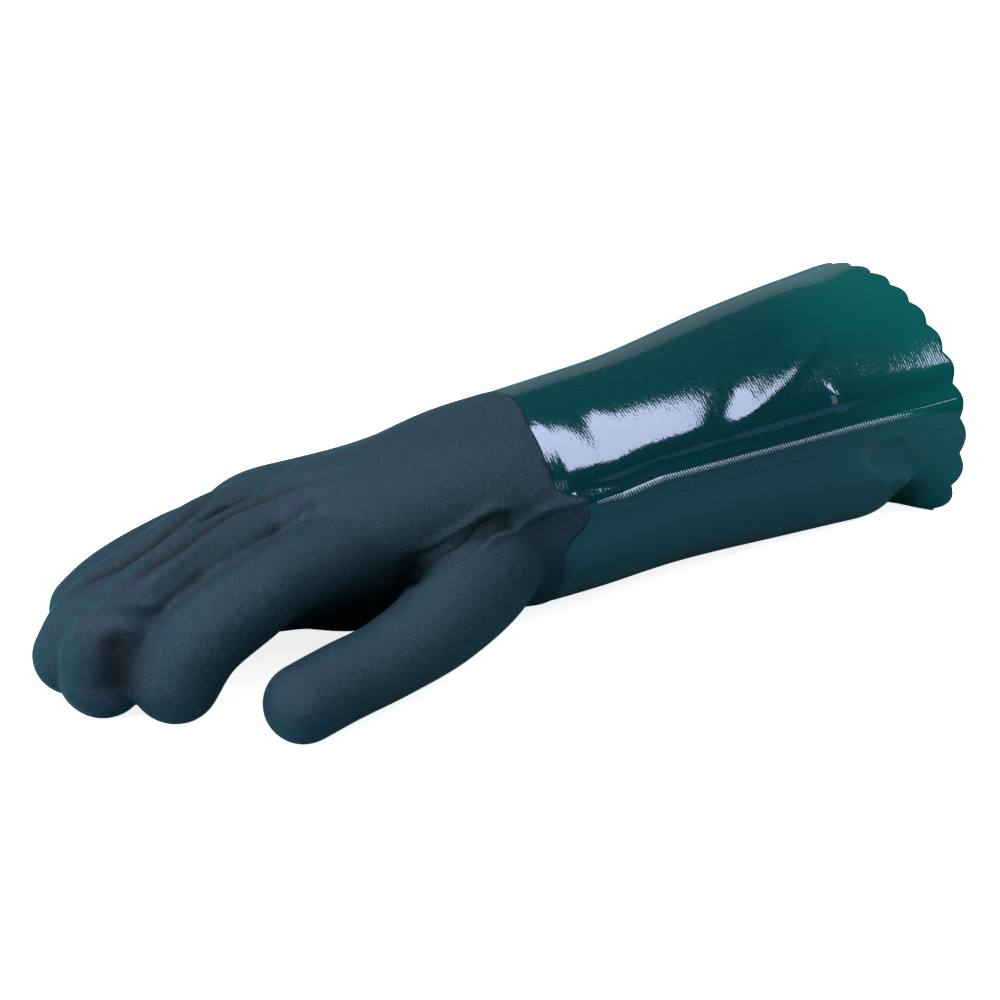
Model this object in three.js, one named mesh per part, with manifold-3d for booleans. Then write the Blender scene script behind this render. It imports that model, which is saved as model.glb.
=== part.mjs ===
// PVC coated work glove, a right hand gauntlet that lies palm down with its fingers curled to the table.
// Millimetres, +Z up. X runs from the fingertips to the mouth, and the thumb is on the -Y side.
import * as THREE from 'three';
import { mergeVertices } from 'three/addons/utils/BufferGeometryUtils.js';
import Module from 'manifold-3d';

const wasm = await Module();
wasm.setup();

// Lengths to both sides of the line where the matte hand meets the glossy gauntlet.
const cuffLength = 173;
const handLength = 156;

// Girths, as the radius of the round wrist and the half thickness of a finger and of the thumb.
const wristRadius = 38;
const fingerRadius = 14;
const thumbRadius = 13;

// Thickness of the coated cloth of the gauntlet, of the hand and of the pressed sides of the fingers.
const cuffWall = 1.6;
const handWall = 2.0;
const fingerSideWall = 2.8;

// Welt of the closing seam on the thumb side of the gauntlet. Its turns are degrees up from level, at
// the wrist and at the mouth. A shallow channel runs above it.
const seamTurnAtWrist = 15;
const seamTurnAtMouth = 3;
const seamWidth = 5;
const seamHeight = 1.8;
const channelDepth = 1.6;
const channelTurn = 9;

// Rounded scallops cut round the mouth.
const scallopPitch = 12;
const scallopDepth = 3;

// Space between two pieces that touch.
const gap = 0.3;

// Facets: round the gauntlet per scallop, round the palm, round a finger, and over a domed tip.
const facetsPerScallop = 4;
const palmFacets = 48;
const fingerFacets = 16;
const tipSteps = 4;

// Sections of the gauntlet. along: share of cuffLength. All others are shares of wristRadius:
// y and z of the section's centre, then its reach at every 45 degrees from the near side over the top.
const cuffSections = [
  // along, y, z, near, nearTop, top, farTop, far, farUnder, under, nearUnder
  [0.00, 0.00, 1.00, 1.00, 1.00, 1.00, 1.00, 1.01, 1.05, 1.05, 1.00],
  [0.15, 0.00, 1.01, 1.03, 1.03, 1.00, 1.01, 1.05, 1.09, 1.08, 1.05],
  [0.35, 0.00, 1.03, 1.08, 1.08, 1.01, 1.03, 1.09, 1.14, 1.11, 1.10],
  [0.62, 0.05, 1.05, 1.21, 1.18, 1.09, 1.12, 1.18, 1.26, 1.16, 1.28],
  [0.80, 0.07, 1.07, 1.33, 1.23, 1.14, 1.16, 1.27, 1.31, 1.19, 1.40],
  [0.91, 0.08, 1.08, 1.43, 1.26, 1.15, 1.18, 1.32, 1.33, 1.21, 1.48],
  [1.00, 0.08, 1.11, 1.53, 1.27, 1.15, 1.18, 1.37, 1.37, 1.21, 1.72],
];

// Sections of the palm, from the wrist to the roots of the fingers. along: share of handLength.
// The others are as for the gauntlet.
const palmSections = [
  // along, y, z, near, nearTop, top, farTop, far, farUnder, under, nearUnder
  [0.00, 0.00, 1.00, 1.00, 1.00, 1.00, 1.00, 1.01, 1.05, 1.05, 1.00],
  [0.14, 0.10, 1.03, 0.90, 0.97, 0.92, 0.93, 1.12, 1.18, 1.05, 0.92],
  [0.37, 0.26, 1.02, 0.79, 0.84, 0.80, 0.74, 1.30, 1.22, 1.00, 0.66],
  [0.50, 0.38, 0.98, 0.82, 0.74, 0.74, 0.68, 1.30, 1.08, 0.82, 0.62],
  [0.59, 0.42, 0.92, 0.72, 0.54, 0.52, 0.46, 1.14, 0.92, 0.68, 0.52],
  [0.64, 0.46, 0.86, 0.40, 0.30, 0.26, 0.26, 0.66, 0.54, 0.40, 0.34],
];

// Centrelines of the fingers and the thumb, root to tip. along: share of handLength. y and lift are
// shares of wristRadius, with lift the height of the underside above the table. side, over and under
// are shares of the digit's own radius.
const digits = {
  index: {
    radius: fingerRadius,
    rows: [
      // along, y, lift, side, over, under
      [0.40, -0.12, 0.78, 0.93, 1.00, 1.00],
      [0.64, -0.21, 0.72, 0.95, 1.00, 1.00],
      [0.73, -0.18, 0.56, 1.00, 1.05, 1.05],
      [0.83, -0.13, 0.32, 1.00, 1.05, 1.05],
      [0.885, -0.08, 0.00, 1.00, 1.05, 1.05],
    ],
  },
  middle: {
    radius: fingerRadius,
    rows: [
      [0.40, 0.45, 0.92, 0.93, 1.00, 1.00],
      [0.67, 0.40, 0.74, 0.93, 1.00, 1.00],
      [0.83, 0.37, 0.56, 0.93, 1.07, 1.05],
      [0.965, 0.38, 0.28, 0.95, 1.10, 1.00],
      [0.985, 0.40, 0.00, 1.00, 1.05, 1.00],
    ],
  },
  ring: {
    radius: fingerRadius,
    rows: [
      [0.38, 0.94, 0.72, 0.93, 1.00, 1.00],
      [0.62, 0.95, 0.68, 0.93, 1.00, 1.00],
      [0.79, 0.91, 0.48, 0.93, 1.00, 1.00],
      [0.93, 0.89, 0.26, 0.93, 1.00, 1.00],
      [0.99, 0.92, 0.00, 0.93, 0.93, 0.93],
    ],
  },
  little: {
    radius: fingerRadius,
    rows: [
      [0.36, 1.25, 0.50, 0.93, 0.93, 0.93],
      [0.58, 1.38, 0.46, 0.93, 0.93, 0.93],
      [0.71, 1.43, 0.36, 0.93, 0.93, 0.93],
      [0.81, 1.50, 0.20, 0.90, 0.93, 0.93],
      [0.87, 1.55, 0.02, 0.90, 0.93, 0.93],
    ],
  },
  thumb: {
    radius: thumbRadius,
    rows: [
      [0.06, -0.02, 0.30, 1.90, 1.80, 1.70],
      [0.20, -0.54, 0.20, 1.62, 1.65, 1.40],
      [0.35, -0.86, 0.15, 1.22, 1.30, 1.12],
      [0.50, -0.97, 0.10, 1.04, 1.04, 1.02],
      [0.62, -0.98, 0.05, 1.00, 1.02, 1.00],
      [0.72, -1.00, 0.00, 1.00, 1.00, 1.00],
    ],
  },
};

// Main dents of the walls. along and halfLength: shares of the body's length. turn and halfTurn:
// degrees round the section from the near side over the top. depth: share of wristRadius.
const cuffDents = [
  // along, turn, halfLength, halfTurn, depth
  [0.93, -44, 0.04, 16, 0.20],
  [0.86, -20, 0.07, 11, 0.07],
  [0.70, 62, 0.12, 14, 0.04],
];
const palmDents = [
  // along, turn, halfLength, halfTurn, depth
  [0.16, 4, 0.10, 9, 0.16],
  [0.30, -8, 0.10, 12, 0.14],
];

// Value of a table at place u, a row number with a fraction, on a smooth curve through the rows.
function curveAt(rows, u) {
  const last = rows.length - 1;
  const i = Math.min(Math.floor(u), last - 1);
  const f = u - i;
  const [a, b, c, d] = [Math.max(i - 1, 0), i, i + 1, Math.min(i + 2, last)].map((k) => rows[k]);
  return b.map((p1, k) => {
    const [p0, p2, p3] = [a[k], c[k], d[k]];
    const bend = (2 * p0 - 5 * p1 + 4 * p2 - p3) * f * f + (3 * p1 - p0 - 3 * p2 + p3) * f ** 3;
    return 0.5 * (2 * p1 + (p2 - p0) * f + bend);
  });
}

// The reach of a section at a turn in degrees, on a smooth closed curve through its eight values.
function reachAt(reaches, turn) {
  const u = ((turn / 45) % 8 + 8) % 8;
  const i = Math.floor(u);
  const f = u - i;
  const [p0, p1, p2, p3] = [i + 7, i, i + 1, i + 2].map((k) => reaches[k % 8]);
  const bend = (2 * p0 - 5 * p1 + 4 * p2 - p3) * f * f + (3 * p1 - p0 - 3 * p2 + p3) * f ** 3;
  return 0.5 * (2 * p1 + (p2 - p0) * f + bend);
}

// How deep the dents are at a place, as a share of wristRadius.
function dentAt(dents, along, turn) {
  return dents.reduce((sum, [at, around, halfLength, halfTurn, depth]) => {
    const turned = ((turn - around + 540) % 360) - 180;
    return sum + depth * Math.exp(-(((along - at) / halfLength) ** 2) - (turned / halfTurn) ** 2);
  }, 0);
}

const seamTurnAt = (along) => THREE.MathUtils.lerp(seamTurnAtWrist, seamTurnAtMouth, along);

// A point of a body's skin. inset: how far inside the outer skin it lies. It never goes below the table.
function skinPoint(section, { dents, channel, length, heading }, turn, inset) {
  const [along, y, z, ...reaches] = section;
  const fromChannel = (turn - seamTurnAt(along) - channelTurn) / (channelTurn / 2);
  const grooved = channel * Math.exp(-(fromChannel ** 2));
  const reach = wristRadius * (reachAt(reaches, turn) - dentAt(dents, along, turn)) - grooved - inset;
  const angle = THREE.MathUtils.degToRad(turn);
  return new THREE.Vector3(
    heading * along * length,
    wristRadius * y - reach * Math.cos(angle),
    Math.max(wristRadius * z + reach * Math.sin(angle), inset),
  );
}

// Closed triangles over rings of points, each ring with as many points. The ends are closed by a fan to
// their middle, or joined to each other when looped is true. The surface is turned to face out.
function skin(rings, looped = false) {
  const around = rings[0].length;
  const points = rings.flat();
  const faces = [];
  const steps = looped ? rings.length : rings.length - 1;
  for (let i = 0; i < steps; i++) {
    for (let j = 0; j < around; j++) {
      const a = i * around + j;
      const b = i * around + ((j + 1) % around);
      const c = ((i + 1) % rings.length) * around + j;
      const d = ((i + 1) % rings.length) * around + ((j + 1) % around);
      faces.push(a, b, d, a, d, c);
    }
  }
  if (!looped) {
    for (const [ring, first, flip] of [[rings[0], 0, true], [rings.at(-1), (rings.length - 1) * around, false]]) {
      const middle = ring.reduce((sum, p) => sum.add(p), new THREE.Vector3()).divideScalar(around);
      const hub = points.push(middle) - 1;
      for (let j = 0; j < around; j++) {
        const edge = [first + j, first + ((j + 1) % around)];
        faces.push(hub, ...(flip ? edge.reverse() : edge));
      }
    }
  }
  return facingOut(points, faces);
}

// Geometry of the points and faces, with the faces reversed if they enclose a negative volume.
function facingOut(points, faces) {
  let volume = 0;
  for (let k = 0; k < faces.length; k += 3) {
    const [a, b, c] = [0, 1, 2].map((n) => points[faces[k + n]]);
    volume += a.dot(new THREE.Vector3().crossVectors(b, c));
  }
  const geometry = new THREE.BufferGeometry();
  geometry.setAttribute('position', new THREE.Float32BufferAttribute(points.flatMap((p) => p.toArray()), 3));
  geometry.setIndex(volume < 0 ? faces.reverse() : faces);
  return geometry;
}

// The two bodies of the glove: heading is the side of the wrist line to which each one runs.
const palm = { sections: palmSections, dents: palmDents, channel: 0, length: handLength, heading: -1 };
const cuff = {
  sections: cuffSections, dents: cuffDents, channel: channelDepth, length: cuffLength, heading: 1,
};

// Rings of a body's skin, steps to each stretch between two sections.
function bodyRings(body, around, steps, inset) {
  const count = (body.sections.length - 1) * steps;
  return Array.from({ length: count + 1 }, (_, i) => {
    const section = curveAt(body.sections, i / steps);
    return Array.from({ length: around }, (__, j) => skinPoint(section, body, (360 * j) / around, inset));
  });
}

// Rings of a finger. inset and sideInset: how far inside the outer skin the ring lies, above and below,
// and at the sides. The last section goes on as a dome.
function digitRings({ radius, rows }, steps, inset, sideInset) {
  const count = (rows.length - 1) * steps;
  const stations = Array.from({ length: count + 1 }, (_, i) => {
    const [along, y, lift, side, over, under] = curveAt(rows, i / steps);
    return {
      centre: new THREE.Vector3(-along * handLength, y * wristRadius, lift * wristRadius + under * radius),
      side: side * radius - sideInset,
      over: over * radius - inset,
      under: under * radius - inset,
    };
  });
  const heading = new THREE.Vector3().subVectors(stations.at(-1).centre, stations.at(-2).centre).normalize();
  const last = stations.at(-1);
  const reach = Math.min(last.side, last.over);
  for (let k = 1; k <= tipSteps; k++) {
    const angle = (Math.PI / 2) * (k / (tipSteps + 0.4));
    const size = Math.cos(angle);
    stations.push({
      centre: last.centre.clone().addScaledVector(heading, reach * Math.sin(angle)),
      side: last.side * size,
      over: last.over * size,
      under: last.under * size,
    });
  }
  return stations.map((station, i) => {
    const before = stations[Math.max(i - 1, 0)].centre;
    const after = stations[Math.min(i + 1, stations.length - 1)].centre;
    const forward = new THREE.Vector3().subVectors(after, before).normalize();
    const across = new THREE.Vector3().crossVectors(forward, new THREE.Vector3(0, 0, 1)).normalize();
    const upward = new THREE.Vector3().crossVectors(across, forward);
    return Array.from({ length: fingerFacets }, (_, j) => {
      const angle = (2 * Math.PI * j) / fingerFacets;
      const rise = Math.sin(angle) * (Math.sin(angle) >= 0 ? station.over : station.under);
      const point = station.centre.clone()
        .addScaledVector(across, station.side * Math.cos(angle))
        .addScaledVector(upward, rise);
      point.z = Math.max(point.z, inset);
      return point;
    });
  });
}

// A closed geometry as a solid, and back.
function toSolid(geometry) {
  const bare = geometry.clone();
  bare.deleteAttribute('normal');
  bare.deleteAttribute('uv');
  const merged = mergeVertices(bare, 1e-4);
  const vertProperties = new Float32Array(merged.getAttribute('position').array);
  const triVerts = new Uint32Array(merged.getIndex().array);
  return new wasm.Manifold(new wasm.Mesh({ numProp: 3, vertProperties, triVerts }));
}

function toGeometry(solid) {
  const mesh = solid.getMesh();
  const geometry = new THREE.BufferGeometry();
  geometry.setAttribute('position', new THREE.Float32BufferAttribute(mesh.vertProperties, 3));
  geometry.setIndex(Array.from(mesh.triVerts));
  return geometry;
}

// The palm with its fingers and thumb, as one solid inside the given insets. The hollow's closed end
// stops short of the palm's own, so that there is a wall between the roots of the fingers.
function handVolume(inset, sideInset) {
  const shortened = { ...palm, length: palm.length - 2 * inset };
  const back = toSolid(skin(bodyRings(shortened, palmFacets, 2, inset)));
  return Object.values(digits).reduce(
    (sum, digit) => sum.add(toSolid(skin(digitRings(digit, 2, inset, sideInset)))),
    back,
  );
}

// The hand is hollow to the fingertips. A short plug opens the hollow through the wrist end. Crumbs that
// are left loose where two hollows almost meet are dropped.
function handGeometry() {
  const hollow = handVolume(handWall, fingerSideWall);
  const wrist = bodyRings(palm, palmFacets, 2, handWall)[0];
  const throughWrist = [-handWall, handWall].map((x) => wrist.map((p) => new THREE.Vector3(x, p.y, p.z)));
  const shell = handVolume(0, 0).subtract(hollow).subtract(toSolid(skin(throughWrist)));
  const bodies = shell.decompose().sort((a, b) => b.volume() - a.volume());
  return toGeometry(bodies[0]);
}

const mouth = bodyRings(cuff, palmFacets, 1, 0).at(-1);
const mouthGirth = mouth.reduce((sum, p, i) => sum + p.distanceTo(mouth[(i + 1) % mouth.length]), 0);
const cuffFacets = Math.round(mouthGirth / scallopPitch) * facetsPerScallop;

// The rim runs back into the gauntlet between two scallops, in rounded teeth with pointed notches.
function scalloped(ring) {
  return ring.map((p, j) => {
    const phase = (j % facetsPerScallop) / facetsPerScallop;
    return new THREE.Vector3(p.x - scallopDepth * (1 - Math.sin(Math.PI * phase)), p.y, p.z);
  });
}

function cuffSide(inset) {
  const rings = bodyRings(cuff, cuffFacets, 1, inset);
  for (const p of rings.flat()) p.x = gap + p.x * (1 - gap / cuffLength);
  return [...rings.slice(0, -1), scalloped(rings.at(-1))];
}

function cuffGeometry() {
  return skin([...cuffSide(0), ...cuffSide(cuffWall).reverse()], true);
}

// The welt's flat base lies the gap off the gauntlet, and its crown is narrower than its base.
function seamGeometry() {
  const crownShare = 0.6;
  const sections = cuffSections.map((section) => {
    const [along] = section;
    const middle = skinPoint(section, cuff, seamTurnAt(along), 0);
    const above = skinPoint(section, cuff, seamTurnAt(along) + 1, 0);
    const up = new THREE.Vector3().subVectors(above, middle).normalize();
    const out = new THREE.Vector3(0, -up.z, up.y);
    const start = middle.clone().setX(gap + along * (cuffLength - scallopDepth - 2 * gap));
    const place = (rise, reach) => start.clone().addScaledVector(up, rise).addScaledVector(out, reach);
    const half = seamWidth / 2;
    return [
      place(-half, gap),
      place(half, gap),
      place(half * crownShare, gap + seamHeight),
      place(-half * crownShare, gap + seamHeight),
    ];
  });
  return skin(sections);
}

const matteCoat = new THREE.MeshStandardMaterial({ color: '#203a48', roughness: 0.8, metalness: 0 });
const glossCoat = new THREE.MeshStandardMaterial({ color: '#07473f', roughness: 0.15, metalness: 0 });
const weltCoat = new THREE.MeshStandardMaterial({ color: '#0a4f47', roughness: 0.2, metalness: 0 });

const glove = new THREE.Group();
for (const [name, geometry, material] of [
  ['hand', handGeometry(), matteCoat],
  ['cuff', cuffGeometry(), glossCoat],
  ['side_seam', seamGeometry(), weltCoat],
]) {
  const mesh = new THREE.Mesh(geometry, material);
  mesh.name = name;
  glove.add(mesh);
}

// The origin is the middle of the glove's footprint, on the table.
const extent = new THREE.Box3().setFromObject(glove);
const centre = extent.getCenter(new THREE.Vector3());
glove.position.set(-centre.x, -centre.y, -extent.min.z);

export default glove;
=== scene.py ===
import math
import bpy
import numpy as np
from mathutils import Matrix, Vector


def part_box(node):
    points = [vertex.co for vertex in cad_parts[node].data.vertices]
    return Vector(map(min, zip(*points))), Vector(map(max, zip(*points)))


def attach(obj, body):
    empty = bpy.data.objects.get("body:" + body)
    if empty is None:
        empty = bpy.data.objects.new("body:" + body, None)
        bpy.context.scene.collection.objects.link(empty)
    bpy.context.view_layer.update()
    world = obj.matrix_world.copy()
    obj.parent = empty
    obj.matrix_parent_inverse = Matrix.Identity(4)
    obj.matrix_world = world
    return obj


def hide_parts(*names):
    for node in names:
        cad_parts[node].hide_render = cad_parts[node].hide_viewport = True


# A PVC coated gauntlet work glove, lying palm down. Shapes are worked out in millimetres, in the CAD
# source's own frame: x is 0 at the wrist line and runs to the mouth, and the thumb is on the -y side.
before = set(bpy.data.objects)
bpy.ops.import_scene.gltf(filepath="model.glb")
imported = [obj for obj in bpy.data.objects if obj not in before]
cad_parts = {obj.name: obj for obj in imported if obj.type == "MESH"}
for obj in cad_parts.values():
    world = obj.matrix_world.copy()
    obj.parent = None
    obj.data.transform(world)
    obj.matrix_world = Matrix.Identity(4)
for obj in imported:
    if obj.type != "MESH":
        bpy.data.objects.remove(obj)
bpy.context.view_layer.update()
metre = 1000.0  # millimetres

camera = {
    "target": (-0.0129, -0.0150, 0.0432), "azimuth": -38.0, "elevation": 25.0,
    "distance": 0.8, "lens": 84.0, "sensor": 36.0, "clip": (0.01, 50.0), "pixels": 1000.0,
}


def cameraAxes(settings):
    # Unit vectors to the right, up and back of a camera, from its azimuth and elevation round the target.
    a, e = math.radians(settings["azimuth"]), math.radians(settings["elevation"])
    back = np.array([math.sin(a) * math.cos(e), -math.cos(a) * math.cos(e), math.sin(e)])
    right = np.array([math.cos(a), math.sin(a), 0.0])
    return right, np.cross(back, right), back


def placeCamera(settings):
    right, up, back = cameraAxes(settings)
    eye = Vector(settings["target"]) + Vector(back) * settings["distance"]
    lens = bpy.data.cameras.new("camera")
    lens.lens, lens.sensor_width = settings["lens"], settings["sensor"]
    lens.clip_start, lens.clip_end = settings["clip"]
    made = bpy.data.objects.new("camera", lens)
    facing = Matrix(np.column_stack([right, up, back]).tolist())
    made.matrix_world = Matrix.Translation(eye) @ facing.to_4x4()
    bpy.context.scene.collection.objects.link(made)
    bpy.context.scene.camera = made


def toPixels(points, shift):
    # Perspective division: where points in millimetres, moved by shift, fall in the picture.
    right, up, back = cameraAxes(camera)
    eye = (np.array(camera["target"]) + back * camera["distance"]) * metre
    seen = points + shift - eye
    scale = camera["pixels"] * camera["lens"] / camera["sensor"] / -(seen @ back)
    half = camera["pixels"] / 2
    return np.stack([half + (seen @ right) * scale, half - (seen @ up) * scale], -1)


placeCamera(camera)
print("camera placed")

wristRadius = 38.0
fingerRadius = 14.0
thumbRadius = 13.0
handLength = 156.0

# Sections of the body: share of the length, then y, z and the reach at every 45 degrees from the near
# side over the top, as shares of wristRadius. Dents: share of the length, turn in degrees, half length,
# half turn in degrees and depth as a share of wristRadius.
gauntlet = {
    "length": 173.0, "wall": 1.6,
    "gap": 0.3,  # between the hand and the cuff in the solids
    "underCoat": 2.5,  # how far the cuff starts under the hand's edge
    "sink": 0.25, "meetLength": 9.0,  # how deep its skin lies there, and over what length it rises
    "scallopPitch": 12.0, "scallopDepth": 2.2, "solidScallopDepth": 3.0, "scallopReach": 10.0,
    "rimBulge": 0.5,
    "channelDepth": 0.9, "channelTurn": 9.0, "channelStart": 2.0, "channelEasing": 3.0,
    "rows": 150, "innerRows": 44, "columnsPerScallop": 14, "averagedColumns": 5,
    "sections": [
        [0.00, 0.00, 1.00, 1.00, 1.00, 1.00, 1.00, 1.01, 1.05, 1.05, 1.00],
        [0.15, 0.00, 1.01, 1.03, 1.03, 1.00, 1.01, 1.05, 1.09, 1.08, 1.05],
        [0.35, 0.00, 1.03, 1.08, 1.08, 1.01, 1.03, 1.09, 1.14, 1.11, 1.10],
        [0.62, 0.05, 1.05, 1.21, 1.18, 1.09, 1.12, 1.18, 1.26, 1.16, 1.28],
        [0.80, 0.07, 1.07, 1.33, 1.23, 1.14, 1.16, 1.27, 1.31, 1.19, 1.40],
        [0.91, 0.08, 1.08, 1.43, 1.26, 1.15, 1.18, 1.32, 1.33, 1.21, 1.48],
        [1.00, 0.08, 1.11, 1.53, 1.27, 1.15, 1.18, 1.37, 1.37, 1.21, 1.72],
    ],
    "dents": [[0.93, -44, 0.04, 16, 0.20], [0.86, -20, 0.07, 11, 0.07], [0.70, 62, 0.12, 14, 0.04]],
}
palm = {
    "length": -handLength,
    "sections": [
        [0.00, 0.00, 1.00, 1.00, 1.00, 1.00, 1.00, 1.01, 1.05, 1.05, 1.00],
        [0.14, 0.10, 1.03, 0.90, 0.97, 0.92, 0.93, 1.12, 1.18, 1.05, 0.92],
        [0.37, 0.26, 1.02, 0.79, 0.84, 0.80, 0.74, 1.30, 1.22, 1.00, 0.66],
        [0.50, 0.38, 0.98, 0.82, 0.74, 0.74, 0.68, 1.30, 1.08, 0.82, 0.62],
        [0.59, 0.42, 0.92, 0.72, 0.54, 0.52, 0.46, 1.14, 0.92, 0.68, 0.52],
        [0.64, 0.46, 0.86, 0.40, 0.30, 0.26, 0.26, 0.66, 0.54, 0.40, 0.34],
    ],
    "dents": [[0.16, 4, 0.10, 9, 0.16], [0.30, -8, 0.10, 12, 0.14]],
}
# Each digit's radius and its sections: share of handLength, y and height of the underside as shares of
# wristRadius, then the reach to the sides, over and under as shares of the digit's own radius.
digits = {
    "index": (fingerRadius, [
        [0.40, -0.12, 0.78, 0.93, 1.00, 1.00], [0.64, -0.21, 0.72, 0.95, 1.00, 1.00],
        [0.73, -0.18, 0.56, 1.00, 1.05, 1.05], [0.83, -0.13, 0.32, 1.00, 1.05, 1.05],
        [0.885, -0.08, 0.00, 1.00, 1.05, 1.05]]),
    "middle": (fingerRadius, [
        [0.40, 0.45, 0.92, 0.93, 1.00, 1.00], [0.67, 0.40, 0.74, 0.93, 1.00, 1.00],
        [0.83, 0.37, 0.56, 0.93, 1.07, 1.05], [0.965, 0.38, 0.28, 0.95, 1.10, 1.00],
        [0.985, 0.40, 0.00, 1.00, 1.05, 1.00]]),
    "ring": (fingerRadius, [
        [0.38, 0.94, 0.72, 0.93, 1.00, 1.00], [0.62, 0.95, 0.68, 0.93, 1.00, 1.00],
        [0.79, 0.91, 0.48, 0.93, 1.00, 1.00], [0.93, 0.89, 0.26, 0.93, 1.00, 1.00],
        [0.99, 0.92, 0.00, 0.93, 0.93, 0.93]]),
    "little": (fingerRadius, [
        [0.36, 1.25, 0.50, 0.93, 0.93, 0.93], [0.58, 1.38, 0.46, 0.93, 0.93, 0.93],
        [0.71, 1.43, 0.36, 0.93, 0.93, 0.93], [0.81, 1.50, 0.20, 0.90, 0.93, 0.93],
        [0.87, 1.55, 0.02, 0.90, 0.93, 0.93]]),
    "thumb": (thumbRadius, [
        [0.06, -0.02, 0.30, 1.90, 1.80, 1.70], [0.20, -0.54, 0.20, 1.62, 1.65, 1.40],
        [0.35, -0.86, 0.15, 1.22, 1.30, 1.12], [0.50, -0.97, 0.10, 1.04, 1.04, 1.02],
        [0.62, -0.98, 0.05, 1.00, 1.02, 1.00], [0.72, -1.00, 0.00, 1.00, 1.00, 1.00]]),
}


def smoothThrough(p0, p1, p2, p3, f):
    # Catmull-Rom curve between p1 and p2 at share f.
    return 0.5 * (2 * p1 + (p2 - p0) * f + (2 * p0 - 5 * p1 + 4 * p2 - p3) * f**2
                  + (3 * p1 - p0 - 3 * p2 + p3) * f**3)


def curveAt(rows, places):
    # The table's row at each place, a row number with a fraction, on a smooth curve through the rows.
    table = np.asarray(rows, float)
    last = len(table) - 1
    i = np.clip(np.floor(places).astype(int), 0, last - 1)
    near = [table[np.clip(i + k, 0, last)] for k in (-1, 0, 1, 2)]
    return smoothThrough(*near, (places - i)[:, None])


def sectionTable(rows=900):
    # Sections of the whole body by x, from the roots of the fingers to the mouth.
    parts = []
    for body in (palm, gauntlet):
        dense = curveAt(body["sections"], np.linspace(0, len(body["sections"]) - 1, rows))
        dense[:, 0] *= body["length"]
        parts.append(dense)
    joined = np.vstack([parts[0][::-1], parts[1][1:]])
    return joined[np.argsort(joined[:, 0], kind="stable")]


bodySections = sectionTable()
# The seam's way along the cuff, as x in millimetres and turn in degrees.
seamLine = [
    [0.0, 14.5], [12.0, 13.0], [20.0, 12.0], [37.0, 13.5], [54.0, 12.0], [99.0, 8.5], [138.0, 6.0],
    [173.0, 4.5],
]


def seamTurnAt(x):
    return np.interp(x, *np.transpose(seamLine))


def middleAt(x):
    # The y and z of the body's middle line.
    return (wristRadius * np.interp(x, bodySections[:, 0], bodySections[:, k]) for k in (1, 2))


def signedTurn(turn):
    # The same turn between -180 and 180 degrees.
    return (turn + 540) % 360 - 180


def bodyPoint(x, turn, inset=0.0):
    # Skin of the body: x along it, turn in degrees round it. The reach at a turn lies on a smooth closed
    # curve through the section's eight reaches, less the Gaussian dents, the channel beside the seam and
    # the inset. The skin never goes below the inset's own height.
    columns = [np.interp(x, bodySections[:, 0], bodySections[:, k]) for k in range(1, 11)]
    reaches = np.stack(columns[2:], -1)
    u = (turn / 45.0) % 8
    i = np.floor(u).astype(int)
    four = [np.take_along_axis(reaches, ((i + k) % 8)[..., None], -1)[..., 0] for k in (-1, 0, 1, 2)]
    reach = smoothThrough(*four, u - i)
    for body in (palm, gauntlet):
        along = x / body["length"]
        for at, around, halfLength, halfTurn, depth in body["dents"]:
            off = signedTurn(turn - around)
            reach = reach - depth * np.exp(-(((along - at) / halfLength) ** 2) - (off / halfTurn) ** 2)
    fromChannel = signedTurn(turn - seamTurnAt(x) - gauntlet["channelTurn"])
    begins = 1 / (1 + np.exp(-(x - gauntlet["channelStart"]) / gauntlet["channelEasing"]))
    acrossChannel = fromChannel / (gauntlet["channelTurn"] / 2)
    groove = gauntlet["channelDepth"] * begins * np.exp(-(acrossChannel**2))
    reach = wristRadius * reach - groove - inset
    angle = np.radians(turn)
    return np.stack([x, wristRadius * columns[0] - reach * np.cos(angle),
                     np.maximum(wristRadius * columns[1] + reach * np.sin(angle), inset)], -1)


def digitPoints(name, steps, around, inset=0.0, sideInset=0.0, tipSteps=14, tipOpen=0.3):
    # Rings round a finger's centreline, half ellipses over and under it. Its tip is a dome, whose last
    # ring stops a share of a step short of the pole.
    radius, rows = digits[name]
    s = curveAt(rows, np.linspace(0, len(rows) - 1, (len(rows) - 1) * steps + 1))
    centre = np.stack([-s[:, 0] * handLength, s[:, 1] * wristRadius,
                       s[:, 2] * wristRadius + s[:, 5] * radius], -1)
    side, over, under = s[:, 3] * radius - sideInset, s[:, 4] * radius - inset, s[:, 5] * radius - inset
    heading = centre[-1] - centre[-2]
    heading /= np.linalg.norm(heading)
    dome = np.radians(90.0) * np.arange(1, tipSteps + 1) / (tipSteps + tipOpen)
    reach = min(side[-1], over[-1])
    centre = np.vstack([centre, centre[-1] + heading * (reach * np.sin(dome))[:, None]])
    side, over, under = (np.concatenate([v, v[-1] * np.cos(dome)]) for v in (side, over, under))
    forward = np.gradient(centre, axis=0)
    forward /= np.linalg.norm(forward, axis=1)[:, None]
    across = np.cross(forward, [0.0, 0.0, 1.0])
    across /= np.linalg.norm(across, axis=1)[:, None]
    upward = np.cross(across, forward)
    angle = np.linspace(0, 2 * np.pi, around, endpoint=False)
    rise = np.sin(angle) * np.where(np.sin(angle) >= 0, over[:, None], under[:, None])
    points = (centre[:, None] + across[:, None] * (side[:, None] * np.cos(angle))[..., None]
              + upward[:, None] * rise[..., None])
    points[..., 2] = np.maximum(points[..., 2], inset)
    return points


def gridFaces(rows, columns, loopedRows=False):
    # Quads over a grid that closes on itself in its columns, and in its rows too if it is looped.
    i, j = np.meshgrid(np.arange(rows if loopedRows else rows - 1), np.arange(columns), indexing="ij")
    k, m = (i + 1) % rows, (j + 1) % columns
    return np.stack([i * columns + j, k * columns + j, k * columns + m, i * columns + m], -1).reshape(-1, 4)


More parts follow.
